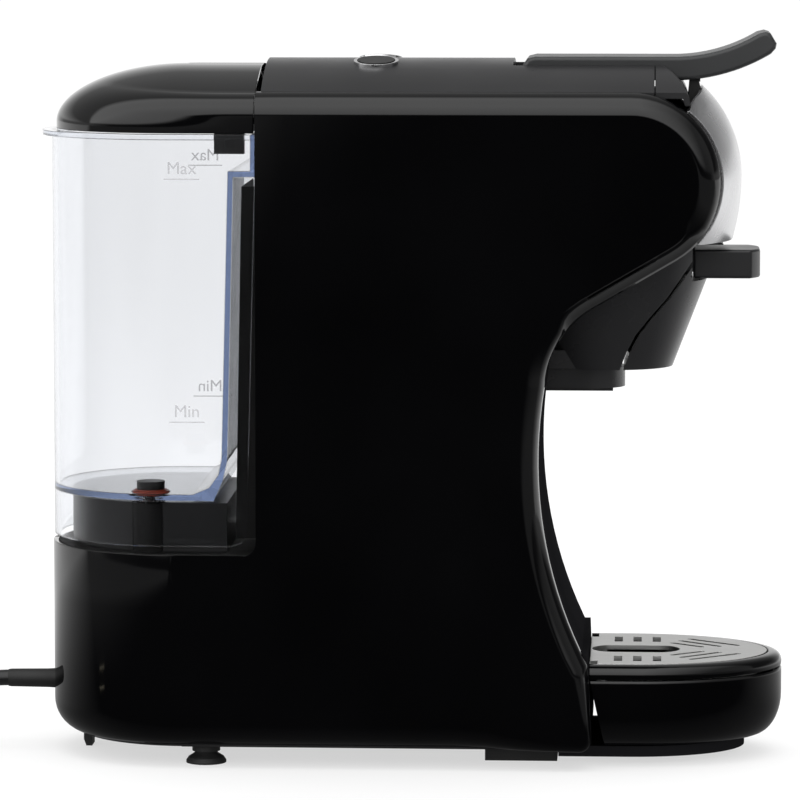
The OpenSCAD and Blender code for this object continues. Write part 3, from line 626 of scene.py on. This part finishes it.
def lid_section(weight, inset):
    """Inward distance and height, from the rim to the middle.

    Weight 0 has the shoulder of the body, weight 1 is one soft dome.
    """
    top = LID_TOP - LID_Z - inset
    half = LID_HALF - inset
    points = []
    for u in steps(0, 1, 38):
        t = max(0, (u - 0.1) / 0.9)
        foot = min(1, u / 0.1)
        # body-like: wall, round shoulder, crown
        if t < 0.2:
            flat = (0, 2 * foot + 6 * t / 0.2)
        elif t < 0.55:
            a = 90 * (t - 0.2) / 0.35
            flat = (LID_SHOULDER * (1 - cosd(a)), 8 + LID_SHOULDER * sind(a) * 0.93)
        else:
            s = (t - 0.55) / 0.45
            d = LID_SHOULDER + (LID_HALF - LID_SHOULDER) * s
            far = LID_HALF - d
            flat = (d, LID_RISE - far * far / (2 * LID_CROWN_R) * 0.985)
        a = 90 * t
        dome = (LID_HALF * (1 - cosd(a)), 3.2 * foot + 24.7 * sind(a) ** 1.06)
        d = lerp(flat[0], dome[0], weight)
        h = lerp(flat[1], dome[1], weight)
        points.append((d * half / LID_HALF, h * top / LID_RISE))
    return points


def lid_rows(inset):
    """Sections along one straight side, round the back and along the other side."""
    half = LID_HALF - inset
    rows = []
    run = LID_Y - LID_FRONT
    for s in steps(0, 1, 8)[:-1]:
        y = lerp(LID_FRONT + inset, LID_Y, s)
        section = lid_section(dome_weight(s * run), inset)
        rows.append([(half - d, y, LID_Z + h) for d, h in section])
    for a in steps(0, 180, 72):
        way = run + LID_HALF * math.radians(min(a, 180 - a))
        row = []
        for d, h in lid_section(dome_weight(way), inset):
            r = half - d
            row.append((r * cosd(a), LID_Y + r * sind(a), LID_Z + h))
        rows.append(row)
    for s in steps(1, 0, 8)[1:]:
        y = lerp(LID_FRONT + inset, LID_Y, s)
        section = lid_section(dome_weight(s * run), inset)
        rows.append([(-(half - d), y, LID_Z + h) for d, h in section])
    return rows


def d_ring(half, yc, y0, z, count=48):
    """Straight sides from y0, then a half round, as one ring at height z."""
    ring = [(half, y0, z)]
    ring += [(half * cosd(a), yc + half * sind(a), z) for a in steps(0, 180, count)]
    ring.append((-half, y0, z))
    return ring


def lid():
    """The dome with its wall, and the collar that sits in the tank."""
    outer = lid_rows(0)
    inner = lid_rows(LID_WALL)
    skin = loft([a + b[::-1] for a, b in zip(outer, inner)], cap_start=True, cap_end=True)
    collar = loft([
        d_ring(53.4, 98.6, 66, 269.8), d_ring(53.4, 98.6, 66, 272.6),
        d_ring(51.2, 98.6, 68.2, 272.6), d_ring(51.2, 98.6, 68.2, 269.8),
    ], close_path=True)
    return skin, collar


lid_skin, lid_collar = lid()
lid_verts, lid_faces = join_parts(lid_skin, lid_collar)
add_piece("lid_dome", lid_verts, lid_faces, "tank_lid", gloss_black,
          ("tank_lid",), angle=50)


# ---------------------------------------------------------------------- lever

HINGE = (-52.0, 293.5)
HINGE_R = 4.5
LEVER_TOP = 301.2
LEVER_T = 10.0
LEVER_HALF = 21.9
SWEEP_R = 69.0
SWEEP_Y = -112.0
SWEEP_A = 31
TIP_R = 5


def lever_outline():
    """Side view of the lever: eye of the hinge, straight bar, upward sweep and round tip."""
    centre_z = LEVER_TOP + SWEEP_R
    under = SWEEP_R + LEVER_T
    middle = SWEEP_R + LEVER_T / 2
    tip = (SWEEP_Y - middle * sind(SWEEP_A), centre_z - middle * cosd(SWEEP_A))
    points = [(HINGE[0] - 0.7, LEVER_TOP), (-49.4, 300.4), (-47.5, 297.6)]
    points += [(HINGE[0] + HINGE_R * cosd(t), HINGE[1] - HINGE_R * sind(t)) for t in range(0, 141, 10)]
    points.append((-66, LEVER_TOP - LEVER_T))
    for a in range(0, SWEEP_A + 1):
        points.append((SWEEP_Y - under * sind(a), centre_z - under * cosd(a)))
    for t in (35, 60, 120, 145):
        a = SWEEP_A - 152 - t
        points.append((tip[0] + TIP_R * cosd(a), tip[1] + TIP_R * sind(a)))
    for a in range(SWEEP_A, -1, -1):
        points.append((SWEEP_Y - SWEEP_R * sind(a), centre_z - SWEEP_R * cosd(a)))
    return points


lever_verts, lever_faces = prism_x(lever_outline(), -LEVER_HALF, LEVER_HALF)
lever = add_piece("lever_bar", lever_verts, lever_faces, "lever", lever_dark,
                  ("lever",), angle=30)
round_edges(lever, 1.7, 2, 50)


# ------------------------------------------------------------- capsule holder

GRIP_HALF = 16.4
GRIP_BACK = -120.5
GRIP_TIP = -149.1
GRIP_R = 28.3
GRIP_ARC_Y = -122
GRIP_HEIGHTS = (206.6, 218.9)
NECK_HEIGHTS = (209.1, 217.9)
NECK_ENDS = (-120.6, -104.9)


def grip_outline():
    """Top view of the grip: straight back, round front with a flat tip."""
    points = [(GRIP_HALF, GRIP_BACK)]
    for x in steps(GRIP_HALF, -GRIP_HALF, 16):
        points.append((x, max(GRIP_TIP, GRIP_ARC_Y - math.sqrt(GRIP_R ** 2 - x * x))))
    points.append((-GRIP_HALF, GRIP_BACK))
    return points


grip_verts, grip_faces = prism_z(grip_outline(), *GRIP_HEIGHTS)
neck_front, neck_back = NECK_ENDS
neck = prism_z([
    (GRIP_HALF, neck_front), (-GRIP_HALF, neck_front), (-GRIP_HALF, neck_back), (GRIP_HALF, neck_back),
], *NECK_HEIGHTS)
handle_verts, handle_faces = join_parts((grip_verts, grip_faces), neck)
handle = add_piece("holder_grip", handle_verts, handle_faces, "capsule_holder", satin_black,
                   ("holder_handle",), angle=30)
round_edges(handle, 1.1, 3, 50)


# ------------------------------------------------------------------ drip tray

TRAY_HALF = 48.4
TRAY_LENGTH = 64.9
TRAY_Y = -95
TRAY_FOOT = 8.3
# the bowl's rounded foot: how far it is drawn in and how high it rises
FOOT_INSET = 11
FOOT_RISE = 18


def oval(inset, z, back):
    """Ring of the tray: straight sides from the back, then half an ellipse."""
    half = TRAY_HALF - inset
    length = TRAY_LENGTH - inset
    ring = [(half, back, z)]
    ring += [(half * cosd(t), TRAY_Y - length * sind(t), z) for t in steps(0, 180, 60)]
    ring.append((-half, back, z))
    return ring


def tray_back(z):
    """Back edge of the bowl, which leans with the column up to its rim."""
    return lerp(-85.7, -77.3, z / 38) if z < 38 else -77.2


def tray():
    """The bowl from its foot up the outside, over the edge and down to the floor inside."""
    rings = []
    for t in steps(0, 90, 10):
        z = TRAY_FOOT + FOOT_RISE * (1 - cosd(t))
        rings.append(oval(FOOT_INSET * (1 - sind(t)), z, tray_back(z)))
    rings += [oval(0, z, tray_back(z)) for z in (31, 36.2, 36.8)]
    rings.append(oval(0.4, 37.4, tray_back(37.4)))
    rings += [oval(3.0, 37.4, -80), oval(3.5, 37, -84), oval(3.5, 22.2, -84)]
    rings += [oval(12, 22.2, -88), oval(12.4, 12, -88.4), oval(13.4, 11.3, -89.4)]
    return loft(rings, cap_start=True, cap_end=True)


tray_verts, tray_faces = tray()
add_piece("tray_bowl", tray_verts, tray_faces, "drip_tray", gloss_black,
          ("drip_tray",), angle=35)

# rim of the tray: inset, height and back of each ring
RIM = [
    (0.6, 38.0, -77.3), (0.1, 38.5, -77.3), (0, 40.0, -77.2), (0.3, 41.4, -77.2), (1.0, 42.6, -77.2),
    (2.2, 43.4, -77.2), (3.6, 43.8, -77.2), (5.4, 43.9, -77.4), (5.7, 43.6, -77.4), (5.7, 41.7, -77.6),
    (7.6, 41.7, -80.4), (7.6, 38.0, -80.6),
]
rim_verts, rim_faces = loft([oval(*row) for row in RIM], close_path=True)
add_piece("tray_collar", rim_verts, rim_faces, "drip_tray", gloss_black,
          ("tray_rim",), angle=35)


# ---------------------------------------------------------- marks and trimmings

def text_piece(name, words, place, turn, size, body, material):
    """Thin raised lettering on a wall that faces sideways."""
    curve = bpy.data.curves.new(name, "FONT")
    curve.body = words
    curve.size = size * MM
    curve.extrude = 0.0001
    curve.align_x = "CENTER"
    curve.materials.append(material)
    piece = bpy.data.objects.new(name, curve)
    bpy.context.scene.collection.objects.link(piece)
    piece.location = Vector(place) * MM
    piece.rotation_euler = (math.radians(90), 0, math.radians(turn))
    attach(piece, body)
    return piece


LETTERS_X = 54.15
LETTERS_SIZE = 7.4
LETTERS_RISE = 2.4
LINE_X = (54.02, 54.25)
LINE_HALF = 7.5
LINE_T = 0.45


def level_mark(label, height, middle, side):
    """A level line with its word above it, on one wall of the tank."""
    tag = label.lower() + ("_near" if side < 0 else "_far")
    place = (side * LETTERS_X, middle, height + LETTERS_RISE)
    text_piece("level_" + tag, label, place, side * 90, LETTERS_SIZE, "tank", mark_clear)
    line = [
        (side * LINE_X[0], middle - LINE_HALF), (side * LINE_X[1], middle - LINE_HALF),
        (side * LINE_X[1], middle + LINE_HALF), (side * LINE_X[0], middle + LINE_HALF),
    ]
    line_verts, line_faces = prism_z(line, height, height + LINE_T)
    add_piece("line_" + tag, line_verts, line_faces, "tank", mark_clear)


for label, height, middle in (("Max", 250.3, 95.0), ("Min", 147.5, 93.2)):
    for side in (-1, 1):
        level_mark(label, height, middle, side)


# ------------------------------------------------------------ floor and lights

def mirrored_only(tree):
    """1 for rays that a glossy face throws back, 0 for all others.

    Rays that only pass through the clear tank count as seen directly.
    """
    path = tree.nodes.new("ShaderNodeLightPath")
    thrown = tree.nodes.new("ShaderNodeMath")
    thrown.operation = "GREATER_THAN"
    thrown.inputs[1].default_value = 0.5
    tree.links.new(path.outputs["Glossy Depth"], thrown.inputs[0])
    both = tree.nodes.new("ShaderNodeMath")
    both.operation = "MULTIPLY"
    tree.links.new(path.outputs["Is Glossy Ray"], both.inputs[0])
    tree.links.new(thrown.outputs["Value"], both.inputs[1])
    return both.outputs["Value"]


def floor_material():
    """Plain pale floor. Mirrored in the machine's gloss, its -X half is dark."""
    material = bpy.data.materials.new("floor")
    material.use_nodes = True
    tree = material.node_tree
    tree.nodes.clear()
    output = tree.nodes.new("ShaderNodeOutputMaterial")
    pale = tree.nodes.new("ShaderNodeBsdfDiffuse")
    pale.inputs["Color"].default_value = (0.95, 0.95, 0.95, 1)
    glow = tree.nodes.new("ShaderNodeEmission")
    glow.inputs["Strength"].default_value = 1.02
    lifted = tree.nodes.new("ShaderNodeMixShader")
    lifted.inputs["Fac"].default_value = 0.6
    mirrored = tree.nodes.new("ShaderNodeEmission")
    mix = tree.nodes.new("ShaderNodeMixShader")
    place = tree.nodes.new("ShaderNodeTexCoord")
    split = tree.nodes.new("ShaderNodeSeparateXYZ")
    reach = tree.nodes.new("ShaderNodeMapRange")
    reach.inputs["From Min"].default_value = -0.08
    reach.inputs["From Max"].default_value = 0.4
    reach.inputs["To Min"].default_value = 0.01
    reach.inputs["To Max"].default_value = 0.9
    tree.links.new(place.outputs["Object"], split.inputs["Vector"])
    tree.links.new(split.outputs["X"], reach.inputs["Value"])
    # the floor lightens before and behind the machine as well
    apart = tree.nodes.new("ShaderNodeMath")
    apart.operation = "ABSOLUTE"
    tree.links.new(split.outputs["Y"], apart.inputs[0])
    ends = tree.nodes.new("ShaderNodeMapRange")
    ends.interpolation_type = "SMOOTHSTEP"
    ends.inputs["From Min"].default_value = 0.3
    ends.inputs["From Max"].default_value = 0.8
    ends.inputs["To Max"].default_value = 0.2
    tree.links.new(apart.outputs["Value"], ends.inputs["Value"])
    total = tree.nodes.new("ShaderNodeMath")
    tree.links.new(reach.outputs["Result"], total.inputs[0])
    tree.links.new(ends.outputs["Result"], total.inputs[1])
    tree.links.new(total.outputs["Value"], mirrored.inputs["Strength"])
    tree.links.new(pale.outputs["BSDF"], lifted.inputs[1])
    tree.links.new(glow.outputs["Emission"], lifted.inputs[2])
    tree.links.new(mirrored_only(tree), mix.inputs["Fac"])
    tree.links.new(lifted.outputs["Shader"], mix.inputs[1])
    tree.links.new(mirrored.outputs["Emission"], mix.inputs[2])
    tree.links.new(mix.outputs["Shader"], output.inputs["Surface"])
    return material


def make_floor():
    mesh = bpy.data.meshes.new("floor")
    reach = 12
    mesh.from_pydata([(-reach, -reach, 0), (reach, -reach, 0), (reach, reach, 0), (-reach, reach, 0)],
                     [], [(0, 1, 2, 3)])
    mesh.materials.append(floor_material())
    floor = bpy.data.objects.new("floor", mesh)
    bpy.context.scene.collection.objects.link(floor)


def ramp(tree, source, stops):
    """Brightness by position; values up to 2."""
    colours = tree.nodes.new("ShaderNodeValToRGB")
    bar = colours.color_ramp
    while len(bar.elements) < len(stops):
        bar.elements.new(0.5)
    for stop, (place, value) in zip(bar.elements, stops):
        stop.position = place
    for stop, (place, value) in zip(bar.elements, stops):
        stop.color = (value / 2, value / 2, value / 2, 1)
    tree.links.new(source, colours.inputs["Fac"])
    double = tree.nodes.new("ShaderNodeMath")
    double.operation = "MULTIPLY"
    double.inputs[1].default_value = 2.0
    tree.links.new(colours.outputs["Color"], double.inputs[0])
    return double.outputs["Value"]


# brightness over half a turn, from the horizon at -X over the top to the one at +X
ROOF = [(0, 1.3), (0.25, 1.9), (0.5, 1.7), (0.57, 0.4), (0.84, 0.35), (0.95, 1.0)]
# brightness near the horizon, from -X to +X
HORIZON = [(0, 0.01), (0.3, 0.08), (0.5, 0.5), (0.85, 0.4), (0.97, 1.1)]


def make_world():
    """White studio all round, with its own picture for reflections.

    The gloss mirrors a wide softbox over the machine's left side (-X), a dimmer
    roof, a bright wall to its right and a dark room below the softbox.
    """
    world = bpy.data.worlds.new("studio")
    bpy.context.scene.world = world
    world.use_nodes = True
    tree = world.node_tree
    tree.nodes.clear()
    output = tree.nodes.new("ShaderNodeOutputWorld")
    plain = tree.nodes.new("ShaderNodeBackground")
    plain.inputs["Color"].default_value = (1, 1, 1, 1)
    plain.inputs["Strength"].default_value = 1.08
    mirrored = tree.nodes.new("ShaderNodeBackground")
    mirrored.inputs["Color"].default_value = (1, 1, 1, 1)
    mix = tree.nodes.new("ShaderNodeMixShader")
    place = tree.nodes.new("ShaderNodeTexCoord")
    split = tree.nodes.new("ShaderNodeSeparateXYZ")
    tree.links.new(place.outputs["Generated"], split.inputs["Vector"])
    # angle from the horizon at -X over the top, 0 to 1 for half a turn
    back = tree.nodes.new("ShaderNodeMath")
    back.operation = "MULTIPLY"
    back.inputs[1].default_value = -1
    tree.links.new(split.outputs["X"], back.inputs[0])
    angle = tree.nodes.new("ShaderNodeMath")
    angle.operation = "ARCTAN2"
    tree.links.new(split.outputs["Z"], angle.inputs[0])
    tree.links.new(back.outputs["Value"], angle.inputs[1])
    share = tree.nodes.new("ShaderNodeMath")
    share.operation = "MULTIPLY"
    share.inputs[1].default_value = 1 / math.pi
    tree.links.new(angle.outputs["Value"], share.inputs[0])
    roof = ramp(tree, share.outputs["Value"], ROOF)
    across = tree.nodes.new("ShaderNodeMapRange")
    across.inputs["From Min"].default_value = -1
    tree.links.new(split.outputs["X"], across.inputs["Value"])
    horizon = ramp(tree, across.outputs["Result"], HORIZON)
    rise = tree.nodes.new("ShaderNodeMapRange")
    rise.interpolation_type = "SMOOTHSTEP"
    rise.inputs["From Min"].default_value = 0.03
    rise.inputs["From Max"].default_value = 0.1
    tree.links.new(split.outputs["Z"], rise.inputs["Value"])
    # the roof ends towards the front of the machine
    front = tree.nodes.new("ShaderNodeMapRange")
    front.inputs["From Min"].default_value = -0.75
    front.inputs["From Max"].default_value = -0.1
    front.inputs["To Min"].default_value = 0.18
    tree.links.new(split.outputs["Y"], front.inputs["Value"])
    shade = tree.nodes.new("ShaderNodeMath")
    shade.operation = "MULTIPLY"
    tree.links.new(roof, shade.inputs[0])
    tree.links.new(front.outputs["Result"], shade.inputs[1])
    blend = tree.nodes.new("ShaderNodeMix")
    tree.links.new(rise.outputs["Result"], blend.inputs["Factor"])
    tree.links.new(horizon, blend.inputs["A"])
    tree.links.new(shade.outputs["Value"], blend.inputs["B"])
    tree.links.new(blend.outputs["Result"], mirrored.inputs["Strength"])
    tree.links.new(mirrored_only(tree), mix.inputs["Fac"])
    tree.links.new(plain.outputs["Background"], mix.inputs[1])
    tree.links.new(mirrored.outputs["Background"], mix.inputs[2])
    tree.links.new(mix.outputs["Shader"], output.inputs["Surface"])


def area_light(name, place, target, size, power):
    """A soft lamp that the gloss doesn't mirror; the world holds the mirrored picture."""
    data = bpy.data.lights.new(name, "AREA")
    data.shape = "RECTANGLE"
    data.size = size[0]
    data.size_y = size[1]
    data.energy = power
    lamp = bpy.data.objects.new(name, data)
    lamp.visible_glossy = False
    lamp.location = place
    lamp.rotation_mode = "QUATERNION"
    lamp.rotation_quaternion = (Vector(target) - Vector(place)).to_track_quat("-Z", "Y")
    bpy.context.scene.collection.objects.link(lamp)


make_floor()
make_world()
area_light("softbox_top", (0.2, 0, 1.9), (0, 0, 0), (1.8, 1.8), 18)
bpy.context.scene.view_settings.view_transform = "Standard"
